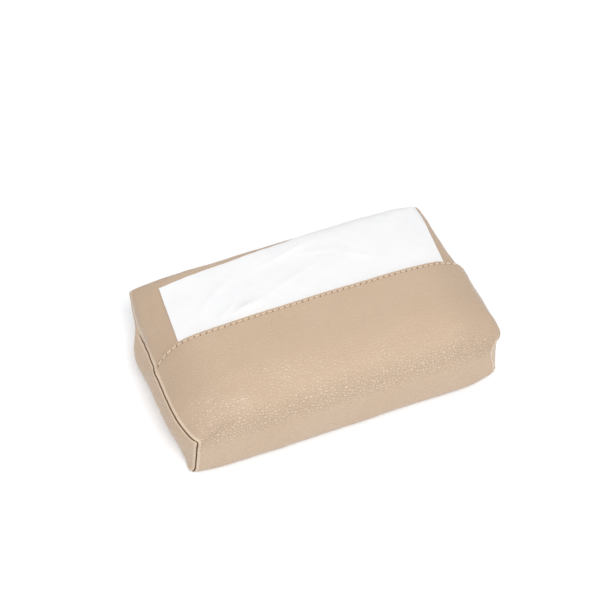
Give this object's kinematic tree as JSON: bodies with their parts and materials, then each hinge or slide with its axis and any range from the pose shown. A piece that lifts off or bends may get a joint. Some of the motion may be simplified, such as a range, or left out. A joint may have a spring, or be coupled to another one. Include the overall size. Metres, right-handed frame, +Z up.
{
  "type": "leather tissue box",
  "caption": "Soft leather tissue box: a crowned wrap with two lapping flaps on top, bulging sewn end panels, and a tissue coming out between the flaps.",
  "frame": {"origin": "on the surface that the box stands on, under the middle of its length and depth", "axes": "+X along the box, +Y to the rear (the free edge of the front flap points there), +Z up"},
  "size_m": [0.2426, 0.145, 0.0574],
  "materials": {
    "leather": "pebble-grained, soft matt",
    "lining": "suede",
    "tape": "woven tape",
    "thread": "waxed thread",
    "board": "grey board",
    "tissue": "soft paper"
  },
  "bodies": {
    "case": {"case_leather": "leather", "case_lining": "lining", "left_end_leather": "leather", "right_end_leather": "leather", "left_end_lining": "lining", "right_end_lining": "lining", "left_case_seam_tape": "tape", "right_case_seam_tape": "tape", "base_board": "board", "tissue_stack": "tissue"},
    "front_flap": {"front_flap_leather": "leather", "front_flap_lining": "lining", "front_flap_thread": "thread", "front_flap_left_seam_tape": "tape", "front_flap_right_seam_tape": "tape"},
    "rear_flap": {"rear_flap_leather": "leather", "rear_flap_lining": "lining", "rear_flap_left_seam_tape": "tape", "rear_flap_right_seam_tape": "tape"},
    "pulled_sheet": {"pulled_tissue": "tissue"}
  },
  "joints": [
    {"name": "front_flap_lift", "type": "hinge", "parent": "case", "child": "front_flap", "pos_m": [0, -0.06728, 0.04046], "axis": [1, 0, 0], "range_deg": [0, 25]},
    {"name": "rear_flap_lift", "type": "hinge", "parent": "case", "child": "rear_flap", "pos_m": [0, 0.06728, 0.04046], "axis": [-1, 0, 0], "range_deg": [0, 3.75]},
    {"name": "tissue_pull", "type": "slide", "parent": "rear_flap", "child": "pulled_sheet", "axis": [0, 1, 0], "range_m": [0, 0.09]}
  ],
  "couplings": [
    {"joint": "rear_flap_lift", "follows": "front_flap_lift", "ratio": 0.15}
  ]
}
